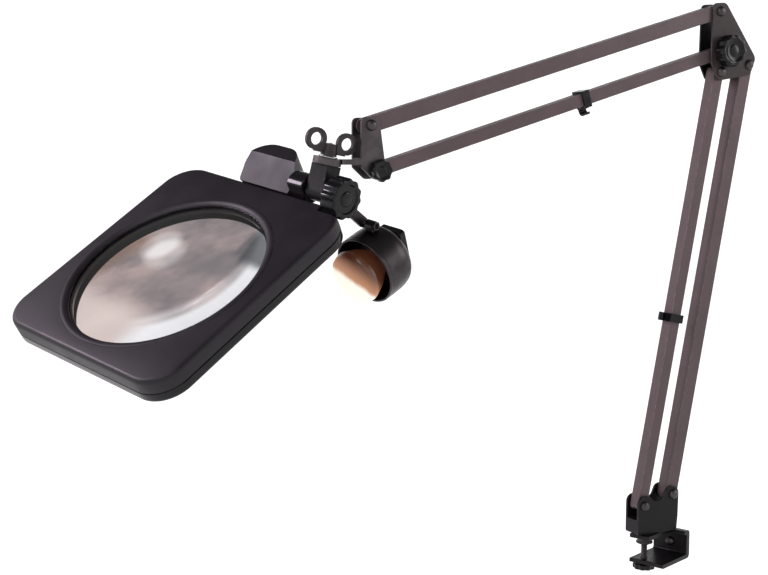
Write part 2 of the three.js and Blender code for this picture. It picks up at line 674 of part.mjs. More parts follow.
// The lamp's own frame: the tilt pin is the origin and +X runs to the back of the shade.
function makeLamp() {
  const { r, depth, wall, rim, drop, lug } = LAMP;
  const shell = turned([
    [r, 0], [r, 17], [r - 1.5, 22], [r - 6, depth], [8, depth], [8, depth - wall],
    [r - 6.4, depth - wall], [r - 2.7, 21], [r - wall, 16.6], [r - wall, 0], [r, 0],
  ], 32).rotateY(Math.PI / 2).translate(rim, 0, drop);
  const ear = join(rod(3, lug, "y", 0, 0, 0, 16), box(6, lug, 6, 0, 0, -3));
  const inside = rod(r - wall / 2, depth, "x", rim + depth / 2, 0, drop, 32);
  const shade = cut(join(cut(ear, inside), shell), rod(LAMP.pin + GAP, 30, "y", 0, 0, 0, 12));
  add(spot, "lamp_shade", shade, DARK_STEEL);

  const holder = turned([
    [0, depth - 5], [7.2, depth - 5], [7.2, depth - 1], [7.2, depth + 4], [0, depth + 4],
  ], 20).rotateY(Math.PI / 2).translate(rim, 0, drop);
  add(spot, "lampholder", holder, BRASS);

  const back = rim + depth + GAP;
  const { wide, high, deep, rise } = CAP;
  const capShape = outline([
    [-wide / 2, -high / 2, 3],
    [wide / 2, -high / 2, 3],
    [wide / 2, high / 2, 3],
    [-wide / 2, high / 2, 3],
  ]);
  const blank = new THREE.ExtrudeGeometry(capShape, {
    depth: deep - 1.5,
    bevelThickness: 1.5,
    bevelSize: 1.5,
    bevelOffset: -1.5,
    bevelSegments: 1,
    curveSegments: 3,
  }).rotateZ(Math.PI / 2).rotateY(Math.PI / 2).translate(back + 1.5, 0, drop + rise);
  const slots = [-6, -2, 2, 6].map((z) => box(8, 12, 1.4, back + deep, 0, drop + rise + z));
  const cap = cut(
    blank,
    box(10, 40, 40, back - 5, 0, drop),
    rod(7.5, 12, "x", back, 0, drop, 20),
    ...slots,
  );
  add(spot, "vent_cap", cap, PLASTIC);

  const bulb = turned([
    [0, -14.6], [5.5, -14.2], [11.5, -12.8], [16.5, -10], [18.3, -7], [18, -4.5],
    [14.5, 3], [9, 10.5], [5.5, 16], [5.5, 20], [0, 20],
  ], 28).rotateY(Math.PI / 2).translate(rim, 0, drop);
  add(spot, "reflector_bulb", bulb, BULB);

  const switchAt = new THREE.Vector3(back + 1.4, 0, drop - high / 2 - 1.5);
  const push = turned([[0, 0], [2.6, 0], [2.6, 2], [2, 2.8], [0, 3]], 16).rotateY(Math.PI / 2);
  add(spot, "push_switch", push.translate(switchAt.x, switchAt.y, switchAt.z), PLASTIC);
}

makeClamp();
makeBase();
makeArm();
makeElbow();
makeHeadBracket();
makeWingNut();
makeKnuckle();
makeMagnifier();
makeLampArm();
makeLamp();

export default lamp;
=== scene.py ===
# %% [markdown]
# A bench magnifying lamp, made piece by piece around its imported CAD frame. The lamp hangs on a balanced arm of four
# square tubes that stands in a table clamp. The first step loads the frame, so that every later piece can be placed
# by the frame's own joints. Lengths are written in millimetres and turned into metres when a mesh is made.

# %% The frame
import json
import math

import bmesh
import bpy
from mathutils import Matrix, Vector

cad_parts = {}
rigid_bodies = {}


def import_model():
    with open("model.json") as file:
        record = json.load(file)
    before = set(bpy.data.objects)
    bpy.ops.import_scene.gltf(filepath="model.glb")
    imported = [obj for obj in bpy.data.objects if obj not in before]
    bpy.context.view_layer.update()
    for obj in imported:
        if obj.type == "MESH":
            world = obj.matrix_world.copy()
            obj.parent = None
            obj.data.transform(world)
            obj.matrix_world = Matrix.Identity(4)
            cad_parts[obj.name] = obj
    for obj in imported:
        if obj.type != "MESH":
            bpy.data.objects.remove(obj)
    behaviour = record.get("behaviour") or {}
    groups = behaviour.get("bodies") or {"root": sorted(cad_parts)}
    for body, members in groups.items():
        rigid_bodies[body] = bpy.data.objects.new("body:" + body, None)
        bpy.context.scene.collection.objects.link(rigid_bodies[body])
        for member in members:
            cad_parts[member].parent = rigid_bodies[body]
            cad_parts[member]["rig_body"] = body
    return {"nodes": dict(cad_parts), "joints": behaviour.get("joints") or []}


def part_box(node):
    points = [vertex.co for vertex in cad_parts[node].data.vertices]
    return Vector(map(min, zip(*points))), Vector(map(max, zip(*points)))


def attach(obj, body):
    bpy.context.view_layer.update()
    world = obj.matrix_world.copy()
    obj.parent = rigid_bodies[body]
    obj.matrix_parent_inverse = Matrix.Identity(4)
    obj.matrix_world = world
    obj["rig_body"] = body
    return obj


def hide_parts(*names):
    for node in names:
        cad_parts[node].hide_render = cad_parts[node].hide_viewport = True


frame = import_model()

MM = 0.001
nodes = frame["nodes"]
joints = {joint["name"]: joint for joint in frame["joints"]}
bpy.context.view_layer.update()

# %% [markdown]
# The camera comes first, because everything is judged through it. It stands low and to the left of the arm, about
# a metre away, with a fairly long lens, so that the near frame of the magnifier looks only a little larger than the
# clamp behind it.

# %% The camera
CAMERA_PLACE = Vector((-610.4, -726.1, 273.4)) * MM
CAMERA_DOWN = 5.68  # degrees below the horizon
CAMERA_TURN = 28.2  # degrees to the right of straight ahead

camera_data = bpy.data.cameras.new("camera")
camera_data.lens = 61.1
camera_data.sensor_width = 36.0
camera_data.clip_start = 0.01
camera = bpy.data.objects.new("camera", camera_data)
camera.location = CAMERA_PLACE
camera.rotation_euler = (math.radians(90 - CAMERA_DOWN), 0, math.radians(-CAMERA_TURN))
bpy.context.scene.collection.objects.link(camera)
bpy.context.scene.camera = camera
print("camera at", [round(v, 3) for v in camera.location])

# %% [markdown]
# The head of the lamp is turned, leaned and tilted, so its pieces are far easier to draw in frames of their own.
# Each frame is a matrix: the stem's frame leans with the bracket, the knuckle's frame turns on the stem, and the
# magnifier and the small lamp tilt on the knuckle. The origins come from the joints.

# %% Frames of the clamp, the head, the magnifier and the lamp
CLAMP_TURN = 20
STEM_LEAN, STEM_CANT = 10, 7.7
HEAD_TURN, HEAD_TILT, LAMP_PITCH = 19.9, -41.8, -34
HINGE_DROP = 19.5
HINGE = Vector((94.3, -46.9, 1.9))  # tilt axis at the stem, from the lens centre on the frame's top
LAMP_PIN = Vector((33.5, -17, -14.2))


def turn(axis, degrees):
    return Matrix.Rotation(math.radians(degrees), 4, axis)


def joint_place(name):
    return Vector(joints[name]["pos_m"]) / MM


WORLD = Matrix.Identity(4)
clamp_frame = turn("Z", CLAMP_TURN)
stem_frame = Matrix.Translation(joint_place("head_swivel")) @ turn("X", STEM_CANT) @ turn("Y", STEM_LEAN)
knuckle_frame = stem_frame @ turn("Z", HEAD_TURN)
axle_frame = knuckle_frame @ Matrix.Translation((0, 0, -HINGE_DROP))
panel_frame = axle_frame @ turn("Y", HEAD_TILT) @ Matrix.Translation(-HINGE)
lamp_frame = axle_frame @ Matrix.Translation(LAMP_PIN) @ turn("Y", LAMP_PITCH)
print("lens centre in mm", [round(v, 1) for v in panel_frame.translation])

# %% [markdown]
# Shader maths reads best as plain arithmetic. A Wire wraps one output socket, and adding, multiplying or raising
# wires adds the Math nodes, so that the wear and the haze below can be written as short formulas.

# %% Shader arithmetic
class Wire:
    def __init__(self, finish, socket):
        self.finish, self.socket = finish, socket

    def maths(self, operation, a, b=0.0):
        return self.finish.node("ShaderNodeMath", {"operation": operation}, {0: a, 1: b})

    def __add__(self, other):
        return self.maths("ADD", self, other)

    def __mul__(self, other):
        return self.maths("MULTIPLY", self, other)

    def __sub__(self, other):
        return self.maths("SUBTRACT", self, other)

    def __rsub__(self, other):
        return self.maths("SUBTRACT", other, self)

    def __pow__(self, other):
        return self.maths("POWER", self, other)

    __radd__ = __add__
    __rmul__ = __mul__

    def between(self, low, high):
        """0 below low, 1 above high, and a smooth rise from one to the other."""
        settings = {"interpolation_type": "SMOOTHSTEP"}
        return self.finish.node("ShaderNodeMapRange", settings, {"Value": self, "From Min": low, "From Max": high})


print("arithmetic on wires ready")

# %% [markdown]
# A Finish is one material. Its constants go straight onto the shader, and its node method makes any other node, with
# the settings first and the inputs after. Noise is measured in millimetres on the piece itself, so a sparkle or a
# scratch keeps its real size. Wear belongs on edges, and they are found where a normal that is averaged over a small
# radius leans away from the true one.

# %% One material
RUBBED_REACH = 0.8  # how far from an edge the paint rubs thin


class Finish:
    def __init__(self, name, **constants):
        self.material = bpy.data.materials.new(name)
        self.material.use_nodes = True
        self.tree = self.material.node_tree
        self.shader = self.tree.nodes["Principled BSDF"]
        for socket, value in constants.items():
            self.shader.inputs[socket.replace("_", " ")].default_value = value

    def node(self, kind, settings=None, inputs=None, out=0):
        node = self.tree.nodes.new(kind)
        for key, value in (settings or {}).items():
            setattr(node, key, value)
        for key, value in (inputs or {}).items():
            self.feed(node.inputs[key], value)
        return Wire(self, node.outputs[out])

    def feed(self, socket, value):
        if isinstance(value, Wire):
            self.tree.links.new(value.socket, socket)
        else:
            socket.default_value = value

    def set(self, socket, value):
        self.feed(self.shader.inputs[socket], value)

    def place(self, stretch=(1, 1, 1)):
        """Where a point lies in millimetres, stretched along each axis."""
        spot = self.node("ShaderNodeTexCoord", out="Object")
        scale = [s / MM for s in stretch]
        return self.node("ShaderNodeVectorMath", {"operation": "MULTIPLY"}, {0: spot, 1: scale})

    def height(self, origin, way):
        """Millimetres from a plane through the origin, counted along the given way."""
        offset = self.node("ShaderNodeVectorMath", {"operation": "SUBTRACT"}, {0: self.place(), 1: origin})
        return self.node("ShaderNodeVectorMath", {"operation": "DOT_PRODUCT"}, {0: offset, 1: way}, out="Value")

    def noise(self, size, detail=3.0, stretch=(1, 1, 1), rough=0.55):
        inputs = {"Vector": self.place(stretch), "Scale": 1 / size, "Detail": detail, "Roughness": rough}
        return self.node("ShaderNodeTexNoise", None, inputs)

    def blend(self, mask, first, second):
        return self.node("ShaderNodeMix", {"data_type": "RGBA"}, {0: mask, 6: first, 7: second}, out=2)

    def bump(self, height, depth):
        """A relief of this depth in millimetres."""
        inputs = {"Height": height, "Distance": depth * MM, "Strength": 1.0}
        self.set("Normal", self.node("ShaderNodeBump", None, inputs))

    def edges(self):
        """1 close to the edges of a piece, where hands and tools rub."""
        soft = self.node("ShaderNodeBevel", {"samples": 4}, {"Radius": RUBBED_REACH * MM})
        flat = self.node("ShaderNodeNewGeometry", out="Normal")
        same = self.node("ShaderNodeVectorMath", {"operation": "DOT_PRODUCT"}, {0: soft, 1: flat}, out="Value")
        return (1.0 - same).between(0.01, 0.12)


def lighter(colour, times):
    """The same colour made brighter, or darker when times is under 1."""
    return tuple(times * c for c in colour[:3]) + (1.0,)


print("materials can be written")

# %% [markdown]
# The arm's steel is sprayed: the tubes in a brown-grey metallic paint with a fine sparkle, the near elbow plate in
# the tubes' paint made darker and less metallic, and the far elbow plate, clamp, fork and knuckle in near-black.
# Paint is never quite flat, so a soft orange peel feeds the bump, and it rubs thin on the edges. The metal flake is a
# fine noise in the base colour. The specular level is far below that of real paint, because the pale floor all round
# would otherwise wash the black out to grey.

# %% Paints
def sprayed_paint(name, body, worn, metallic, rough, flake):
    paint = Finish(name, Metallic=metallic, Specular_IOR_Level=0.12, Coat_Weight=0.04, Coat_Roughness=0.2)
    sparkle = paint.noise(0.3, 1.0).between(0.5, 0.75)
    clouds = paint.noise(28.0)
    colour = paint.blend(sparkle * flake, body, lighter(body, 2.2))
    colour = paint.blend(clouds.between(0.35, 0.75) * 0.35, colour, lighter(body, 0.7))
    scuffs = paint.noise(3.5, 5.0).between(0.42, 0.62)
    paint.set("Base Color", paint.blend(paint.edges() * scuffs, colour, worn))
    paint.set("Roughness", rough + 0.16 * (clouds - 0.5) + 0.08 * scuffs)
    paint.bump(paint.noise(1.6, 2.0), 0.03)
    return paint.material


tube_paint = sprayed_paint("tube_paint", (0.085, 0.062, 0.066, 1), (0.2, 0.17, 0.165, 1), 0.3, 0.42, 0.3)
plate_paint = sprayed_paint("plate_paint", (0.032, 0.0235, 0.0245, 1), (0.09, 0.075, 0.072, 1), 0.1, 0.4, 0.25)
black_paint = sprayed_paint("black_paint", (0.006, 0.005, 0.006, 1), (0.045, 0.041, 0.041, 1), 0.05, 0.32, 0.2)
print("paints", tube_paint.name, plate_paint.name, black_paint.name)

# %% [markdown]
# Most small bolts and washers are plated steel, the bracket and the rivets are duller, and the wing nut, shade, lamp
# arm and clamp screw have a dark plating. Plating keeps the fine draw lines of the metal under it, so the noise is
# stretched along one axis, and it holds a few duller smears.

# %% Platings and brass
DRAW_LINES = 0.012  # depth of the lines that drawing and rolling leave


def plating(name, colour, rough):
    metal = Finish(name, Metallic=1.0)
    draw = metal.noise(0.6, 4.0, (1, 0.12, 1))
    smears = metal.noise(9.0, 4.0).between(0.4, 0.7)
    metal.set("Base Color", metal.blend(smears * 0.5 + 0.2 * draw, colour, lighter(colour, 0.55)))
    metal.set("Roughness", rough + 0.14 * draw + 0.12 * smears)
    metal.bump(draw, DRAW_LINES)
    return metal.material


plated_steel = plating("plated_steel", (0.4, 0.385, 0.39, 1), 0.2)
grey_bracket = plating("grey_bracket", (0.085, 0.073, 0.077, 1), 0.34)
dark_plating = plating("dark_plating", (0.05, 0.043, 0.046, 1), 0.3)
rivet_plating = plating("rivet_plating", (0.07, 0.06, 0.063, 1), 0.3)
dull_brass = plating("dull_brass", (0.5, 0.36, 0.14, 1), 0.28)
print("platings", plated_steel.name, grey_bracket.name, dark_plating.name, rivet_plating.name, dull_brass.name)

# %% [markdown]
# Two plastics: the knobs, the lower shell and the lamp's back cap come glossy out of a polished mould, with a thin
# film of dust and hairline scratches. The upper shell and the hinge housing have a satin skin with a very fine grain,
# dark with a touch of purple. Their specular level is kept low for the same reason as the paint's.

# %% Plastics
def glossy_plastic(name, colour):
    plastic = Finish(name, Specular_IOR_Level=0.12, Coat_Weight=0.12, Coat_Roughness=0.06)
    dust = plastic.noise(11.0, 6.0).between(0.5, 0.85)
    hairs = plastic.noise(1.2, 3.0, (1, 0.05, 0.4)).between(0.62, 0.72)
    plastic.set("Base Color", plastic.blend(dust * 0.3, colour, (0.03, 0.027, 0.027, 1)))
    plastic.set("Roughness", 0.2 + 0.12 * dust + 0.08 * hairs)
    plastic.bump(hairs + 0.3 * plastic.noise(5.0), 0.008)
    return plastic.material


def satin_plastic(name, colour):
    plastic = Finish(name, Specular_IOR_Level=0.24)
    grain = plastic.noise(0.35, 3.0)
    patches = plastic.noise(40.0, 3.0).between(0.35, 0.7)
    rubbed = plastic.edges() * plastic.noise(4.0, 4.0).between(0.4, 0.6)
    colour_now = plastic.blend(patches * 0.4, colour, lighter(colour, 1.5))
    plastic.set("Base Color", plastic.blend(rubbed * 0.4, colour_now, (0.06, 0.055, 0.06, 1)))
    plastic.set("Roughness", 0.38 + 0.1 * patches + 0.08 * grain)
    plastic.bump(grain, 0.03)
    return plastic.material


black_gloss = glossy_plastic("black_gloss", (0.005, 0.0045, 0.0055, 1))
satin_black = satin_plastic("satin_black", (0.008, 0.0055, 0.009, 1))
print("plastics", black_gloss.name, satin_black.name)

# %% [markdown]
# A real lens is clear and polished, and its thick curved body gathers the room round it: a rosy haze, a warm corner,
# a bright crescent along the near rim and a dark patch beside the hinge. There is no room here, so they are painted
# into the glass as a tint across and along the frame. That is a stand-in: the tint stays put as the view turns, and
# in places it darkens what lies under the lens. The index is 1.2 too, well under real glass at about 1.5, because a
# full one turned one side of the lens dark by total reflection. A clear coat gives back the shine of real glass.

# %% Lens glass
lens_glass = Finish("lens_glass", Transmission_Weight=1.0, IOR=1.2, Roughness=0.015, Coat_Weight=1.0, Coat_IOR=1.5)


def lens_height(axis):
    """Millimetres from the lens centre along one axis of the magnifier's frame."""
    return lens_glass.height(panel_frame.translation, panel_frame.to_3x3().col[axis])


def distance_from(x, y):
    return ((across - x) ** 2 + (along - y) ** 2) ** 0.5


across, along = lens_height(0), lens_height(1)
print("lens", lens_glass.material.name)

# %% [markdown]
# Each patch of painted reflection in the glass is a mask made from the two distances, and the patches are laid one
# after another over a streaked, rosy painted reflection. Faint smudges change only the roughness.

# %% What the lens gathers
# the lens's base colour is painted reflection, from the streaked rosy base to the dark corner
reflection_streaks = lens_glass.noise(30.0, 4.0, (0.6, 1, 1.6)).between(0.35, 0.7)
painted_reflections = lens_glass.blend(reflection_streaks, (0.2, 0.18, 0.19, 1), (0.46, 0.36, 0.35, 1))
pale_end_reflection = 1.0 - across.between(-44, -22)
painted_reflections = lens_glass.blend(pale_end_reflection * 0.8, painted_reflections, (0.78, 0.66, 0.63, 1))
warm_corner_reflection = (along + 0.3 * across).between(36, 46) * (1.0 - across.between(14, 26))
painted_reflections = lens_glass.blend(warm_corner_reflection * 0.85, painted_reflections, (0.26, 0.16, 0.12, 1))
bright_patch_reflection = 1.0 - distance_from(14, 20).between(9, 17)
painted_reflections = lens_glass.blend(bright_patch_reflection * 0.8, painted_reflections, (0.98, 0.95, 0.94, 1))
crescent_reflection = distance_from(10, 12).between(56, 62) * (1.0 - along.between(-30, -10))
painted_reflections = lens_glass.blend(crescent_reflection * 0.85, painted_reflections, (0.95, 0.96, 1.0, 1))
dark_corner_reflection = (0.22 * across - along).between(37, 42) * across.between(22, 30)
painted_reflections = lens_glass.blend(dark_corner_reflection * 0.85, painted_reflections, (0.05, 0.06, 0.07, 1))
smudges = lens_glass.noise(16.0, 5.0).between(0.55, 0.8)
lens_glass.set("Base Color", painted_reflections)
lens_glass.set("Roughness", 0.01 + 0.03 * smudges)
print("nodes in the lens glass", len(lens_glass.tree.nodes))

# %% [markdown]
# The bulb is a lit reflector. Light pours out of its lower front half, and the upper back half is coated and glows a
# deep orange brown; towards the shade that glow darkens as painted shade. One sloping plane through the bulb parts
# the two halves, so its face and its side share one glow.

# %% Bulb glass
BULB_FACE = lamp_frame @ Vector((-14.6, 0, -26.5))
COATED_WAY = (0.553, -0.206, 0.806)


def bulb_glow(name, rough, strength):
    glass = Finish(name, Roughness=rough, Emission_Strength=strength)
    height = glass.height(BULB_FACE, COATED_WAY)
    mottle = glass.noise(7.0).between(0.3, 0.7)
    coated = (height + 0.8 * mottle).between(-10.5, -7.0)
    white = glass.blend(mottle, (0.95, 0.84, 0.7, 1), (1.0, 0.9, 0.78, 1))
    # the amber glow darkens towards the shade: painted shade
    amber_with_painted_shade = glass.blend(height.between(-9.0, 2.0), (0.55, 0.24, 0.11, 1), (0.04, 0.01, 0.005, 1))
    glass.set("Base Color", glass.blend(coated, (0.3, 0.28, 0.25, 1), (0.06, 0.025, 0.012, 1)))
    glass.set("Emission Color", glass.blend(coated, white, amber_with_painted_shade))
    glass.bump(glass.noise(1.2, 4.0), 0.03)
    return glass.material


bulb_face_glow = bulb_glow("bulb_face_glow", 0.5, 0.75)
bulb_side_glow = bulb_glow("bulb_side_glow", 0.3, 0.7)
print("bulb", bulb_face_glow.name, bulb_side_glow.name)

# %% [markdown]
# Most pieces are turned, pressed or moulded, so a few small helpers cover them. piece() turns points and faces in
# a local frame into an object in metres, gives it its finish and makes it ride on its body. Shading is smooth, with
# sharp edges kept where two faces meet at a real angle.

# %% Making and fastening a piece
def piece(name, points, faces, place, body, finish, stands_for=(), sharp=38):
    mesh = bpy.data.meshes.new(name)
    mesh.from_pydata([(place @ Vector(p)) * MM for p in points], [], faces)
    work = bmesh.new()
    work.from_mesh(mesh)
    bmesh.ops.recalc_face_normals(work, faces=work.faces)
    work.to_mesh(mesh)
    work.free()
    mesh.shade_smooth()
    mesh.set_sharp_from_angle(angle=math.radians(sharp))
    mesh.materials.append(finish)
    made = bpy.data.objects.new(name, mesh)
    bpy.context.scene.collection.objects.link(made)
    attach(made, body)
    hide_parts(*stands_for)
    return made


def ring_faces(rings, around, closed=False):
    """Quads between rings of points; a closed stack joins its last ring to its first."""
    faces = []
    for ring in range(rings if closed else rings - 1):
        low, high = ring * around, (ring + 1) % rings * around
        for i in range(around):
            after = (i + 1) % around
            faces.append((low + i, low + after, high + after, high + i))
    return faces


def turned_shape(profile, around=72):
    """Points and faces of a solid turned about Z; the profile's ends lie on the axis or meet."""
    points = []
    for radius, height in profile:
        for i in range(around):
            a = 2 * math.pi * i / around
            points.append((radius * math.cos(a), radius * math.sin(a), height))
    return points, ring_faces(len(profile), around)


def capped_shape(profile, around=72):
    """A turned solid whose first and last rings are closed by flat caps."""
    points, faces = turned_shape(profile, around)
    faces.append(tuple(reversed(range(around))))
    faces.append(tuple(range(len(points) - around, len(points))))
    return points, faces


def rounded(corners, steps=5):
    """A profile whose corners (x, y, radius) are eased by a small curve."""
    path = []
    for i, (x, y, r) in enumerate(corners):
        here = Vector((x, y))
        if r == 0 or i in (0, len(corners) - 1):
            path.append((x, y))
            continue
        before = (Vector(corners[i - 1][:2]) - here).normalized() * r
        after = (Vector(corners[i + 1][:2]) - here).normalized() * r
        for k in range(steps + 1):
            t = k / steps
            spot = here + before * (1 - t) ** 2 + after * t ** 2
            path.append((spot.x, spot.y))
    return path


print("piece helpers ready")

# %% [markdown]
# Pressed and cut pieces keep their exact CAD outline, but a real edge is never razor sharp. Here a copy of the
# solid is cleaned of its inner triangles, and a bevel modifier rounds every true edge, which is what catches the
# light. The copy stands for its CAD node.

# %% Pieces with eased edges
SEEN_CORNER = 34  # degrees; a flatter meeting of two faces is part of a curve


def eased(node, finish, width, segments):
    work = bmesh.new()
    work.from_mesh(nodes[node].data)
    bmesh.ops.remove_doubles(work, verts=work.verts, dist=0.002 * MM)
    flat = math.radians(1.5)
    bmesh.ops.dissolve_limit(work, angle_limit=flat, verts=work.verts, edges=work.edges)
    points = [v.co / MM for v in work.verts]
    faces = [[v.index for v in face.verts] for face in work.faces]
    work.free()
    made = piece(f"{node}_finished", points, faces, WORLD, nodes[node]["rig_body"], finish, (node,))
    bevel = made.modifiers.new("eased_edges", "BEVEL")
    bevel.width = width * MM
    bevel.segments = segments
    bevel.limit_method = "ANGLE"
    bevel.angle_limit = math.radians(SEEN_CORNER)
    bevel.harden_normals = True
    return made


print("easing helper ready")

# %% [markdown]
# This is the list of every piece that only needs its edges eased: its node, its finish, the slot it fills, the width
# of the rounding in millimetres and the steps across it. Thick moulded pieces get a wide rounding and pressed steel
# gets a narrow one.

# %% The eased pieces
EASED = [
    ("clamp_frame", black_paint, "painted_steel", 0.6, 3),
    ("web_rivet", rivet_plating, "steel", 0.15, 1),
    ("swivel_post", plated_steel, "steel", 0.25, 2),
    ("pressure_foot", dark_plating, "dark_steel", 0.25, 2),
    ("base_fork", black_paint, "painted_steel", 0.45, 2),
    ("elbow_plate_near", plate_paint, "painted_steel", 0.35, 2),
    ("elbow_plate_far", black_paint, "painted_steel", 0.35, 2),
    ("elbow_spacer", dark_plating, "dark_steel", 0.3, 2),
    ("elbow_friction_bolt", plated_steel, "steel", 0.2, 2),
    ("lower_front_tube", tube_paint, "tube_steel", 0.35, 2),
    ("lower_rear_tube", tube_paint, "tube_steel", 0.35, 2),
    ("upper_top_tube", tube_paint, "tube_steel", 0.35, 2),
    ("upper_bottom_tube", tube_paint, "tube_steel", 0.35, 2),
    ("lower_cable_clip", black_gloss, "black_plastic", 0.25, 2),
    ("upper_cable_clip", black_gloss, "black_plastic", 0.25, 2),
    ("head_bracket", grey_bracket, "steel", 0.3, 2),
    ("head_bottom_bolt", plated_steel, "steel", 0.2, 2),
    ("knuckle_block", black_paint, "steel", 0.5, 3),
    ("friction_washer", dark_plating, "dark_steel", 0.2, 2),
    ("stem_washer", plated_steel, "steel", 0.15, 2),
    ("lamp_arm", dark_plating, "steel", 0.35, 2),
    ("hinge_housing", satin_black, "black_plastic", 1.6, 4),
    ("hinge_barrel", black_gloss, "black_plastic", 0.9, 3),
    ("tilt_axle", plated_steel, "steel", 0.3, 2),
    ("vent_cap", black_gloss, "black_plastic", 0.4, 2),
    ("wing_nut", dark_plating, "dark_steel", 0.55, 3),
    ("lamp_tilt_pin", plated_steel, "steel", 0.2, 2),
    ("lamp_tilt_nut", dark_plating, "dark_steel", 0.2, 2),
]
for node, finish, slot_name, width, segments in EASED:
    eased(node, finish, width, segments)
print("eased pieces", len(EASED))

# %% [markdown]
# The pivots of the arm are rivets with a domed head on each side. Each is turned in one go: dome, shank, dome. Its
# length comes from the box of the CAD rivet that it stands for.

# %% Rivets
PIVOTS = {
    "base_front_rivet": ("base", "lower_arm_tilt"),
    "base_rear_rivet": ("base", "lower_rear_follow"),
    "elbow_top_rivet": ("elbow", "upper_arm_tilt"),
    "elbow_front_rivet": ("elbow", "elbow_hold"),
    "head_top_rivet": ("head", "head_hold"),
}


def rivet(node, body, place):
    low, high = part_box(node)
    half = (high.y - low.y) / MM / 2
    head, rise, shank = 3.6, 2.3, 2.0
    dome = [(head * math.cos(a), half - rise + rise * math.sin(a)) for a in (0.0, 0.35, 0.7, 1.0, 1.25, 1.45, 1.57)]
    face = half - rise
    profile = [(r, -z) for r, z in reversed(dome)] + [(shank, -face), (shank, face)] + dome
    points, faces = capped_shape(profile, 40)
    spot = Matrix.Translation(place) @ turn("X", 90)
    piece(node + "_finished", points, faces, spot, body, rivet_plating, (node,))


for node, (body, joint) in PIVOTS.items():
    rivet(node, body, joint_place(joint))
rear = joint_place("elbow_hold") + joint_place("lower_rear_follow") - joint_place("lower_arm_tilt")
rivet("elbow_rear_rivet", "elbow", rear)
print("rivets", len(PIVOTS) + 1)

# %% [markdown]
# Every knob is moulded with flutes that a thumb can grip. Each ring of the knob is the same wavy circle, drawn in
# and lowered at the edges for a soft shoulder, and the outer face is dished round a raised button. A cosine gives
# the flutes. A real knob has a bore for its bolt. These are solid, so the bolt's end lies unseen inside them.

# %% Fluted knobs
def knob(name, radius, thick, flutes, depth, place, body, node):
    around = flutes * 10
    edge = min(1.6, 0.2 * thick)
    rows = [(0.0, 0.0), (radius - 2 * edge, 0.0)]
    for k in range(5):
        a = math.pi / 2 * k / 4
        rows.append((radius - edge + edge * math.sin(a), edge - edge * math.cos(a)))
    for k in range(5):
        a = math.pi / 2 * k / 4
        rows.append((radius - edge + edge * math.cos(a), thick - edge + edge * math.sin(a)))
    dish = 0.09 * thick
    rows += [(0.72 * radius, thick), (0.66 * radius, thick - dish), (0.38 * radius, thick - dish)]
    rows += [(0.34 * radius, thick - 0.2 * dish), (0.28 * radius, thick), (0.0, thick)]
    points = []
    for r, z in rows:
        share = max(0.0, (r / radius - 0.72) / 0.28)
        for i in range(around):
            a = 2 * math.pi * i / around
            wave = 0.5 * depth * share * (1 - math.cos(flutes * a))
            points.append(((r - wave) * math.cos(a), (r - wave) * math.sin(a), z))
    faces = ring_faces(len(rows), around)
    return piece(name, points, faces, place, body, black_gloss, (node,), sharp=50)


print("knob helper ready")

# %% [markdown]
# Four knobs are made with it: a large one on the elbow, a small one on the head bracket, the thick one that clamps
# the tilt, and the thumb knob under the table clamp. The first three sit just outside the parts that they squeeze,
# so their places are worked out from the thickness of those parts.

# %% The four knobs
HALF_SLOT, PLATE, GAP = 5.4, 1.5, 0.3
PLATE_SPAN = HALF_SLOT + PLATE + GAP
elbow_spot = joint_place("elbow_knob_turn") + Vector((0, -PLATE_SPAN, 0))
knob("elbow_grip_knob", 11.5, 9, 10, 1.4, Matrix.Translation(elbow_spot) @ turn("X", 90), "elbow_grip", "elbow_knob")
head_spot = joint_place("head_knob_turn") + Vector((0, -PLATE_SPAN, 0))
knob("head_grip_knob", 7.2, 5, 8, 0.8, Matrix.Translation(head_spot) @ turn("X", 90), "head_grip", "head_pivot_knob")
KNUCKLE_HALF, COLLAR, LAMP_STRIP = 7, 1.2, 2.3
TILT_FACE = -(KNUCKLE_HALF + COLLAR + LAMP_STRIP + 3 * GAP)
tilt_spot = axle_frame @ Matrix.Translation((0, TILT_FACE, 0)) @ turn("X", 90)
knob("tilt_grip_knob", 13, 12, 12, 1.2, tilt_spot, "tilt_grip", "tilt_knob")
SCREW_X, THUMB_TOP = -9.5, -19.0
thumb_spot = clamp_frame @ Matrix.Translation((SCREW_X, 0, THUMB_TOP)) @ turn("X", 180)
knob("thumb_grip_knob", 8, 3.6, 9, 1.0, thumb_spot, "screw", "clamp_thumb_knob")
print("knobs 4")

# %% [markdown]
# The clamp screw has a real thread. Its surface is a grid of points round and along the rod, and each point's
# radius follows a ridge that climbs one pitch for each turn.

# %% The clamp screw
def threaded_rod(name, radius, low, high, pitch, place, body, finish, node):
    around, per_pitch = 32, 8
    rows = int((high - low) / pitch * per_pitch)
    points = []
    for row in range(rows + 1):
        z = low + (high - low) * row / rows
        for i in range(around):
            phase = (z / pitch - i / around) % 1.0
            ridge = 0.32 * (1 - abs(2 * phase - 1))
            a = 2 * math.pi * i / around
            r = radius - 0.32 + ridge
            points.append((r * math.cos(a), r * math.sin(a), z))
    faces = ring_faces(rows + 1, around)
    faces.append(tuple(reversed(range(around))))
    faces.append(tuple(range(len(points) - around, len(points))))
    piece(name, points, faces, place, body, finish, (node,), sharp=60)


screw_low, screw_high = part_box("clamp_screw")
screw_spot = clamp_frame @ Matrix.Translation((SCREW_X, 0, 0))
threaded_rod(
    "clamp_screw_thread", 2.3, screw_low.z / MM, screw_high.z / MM, 1.0, screw_spot,
    "screw", dark_plating, "clamp_screw",
)
print("thread in mm", round((screw_high.z - screw_low.z) / MM, 1))

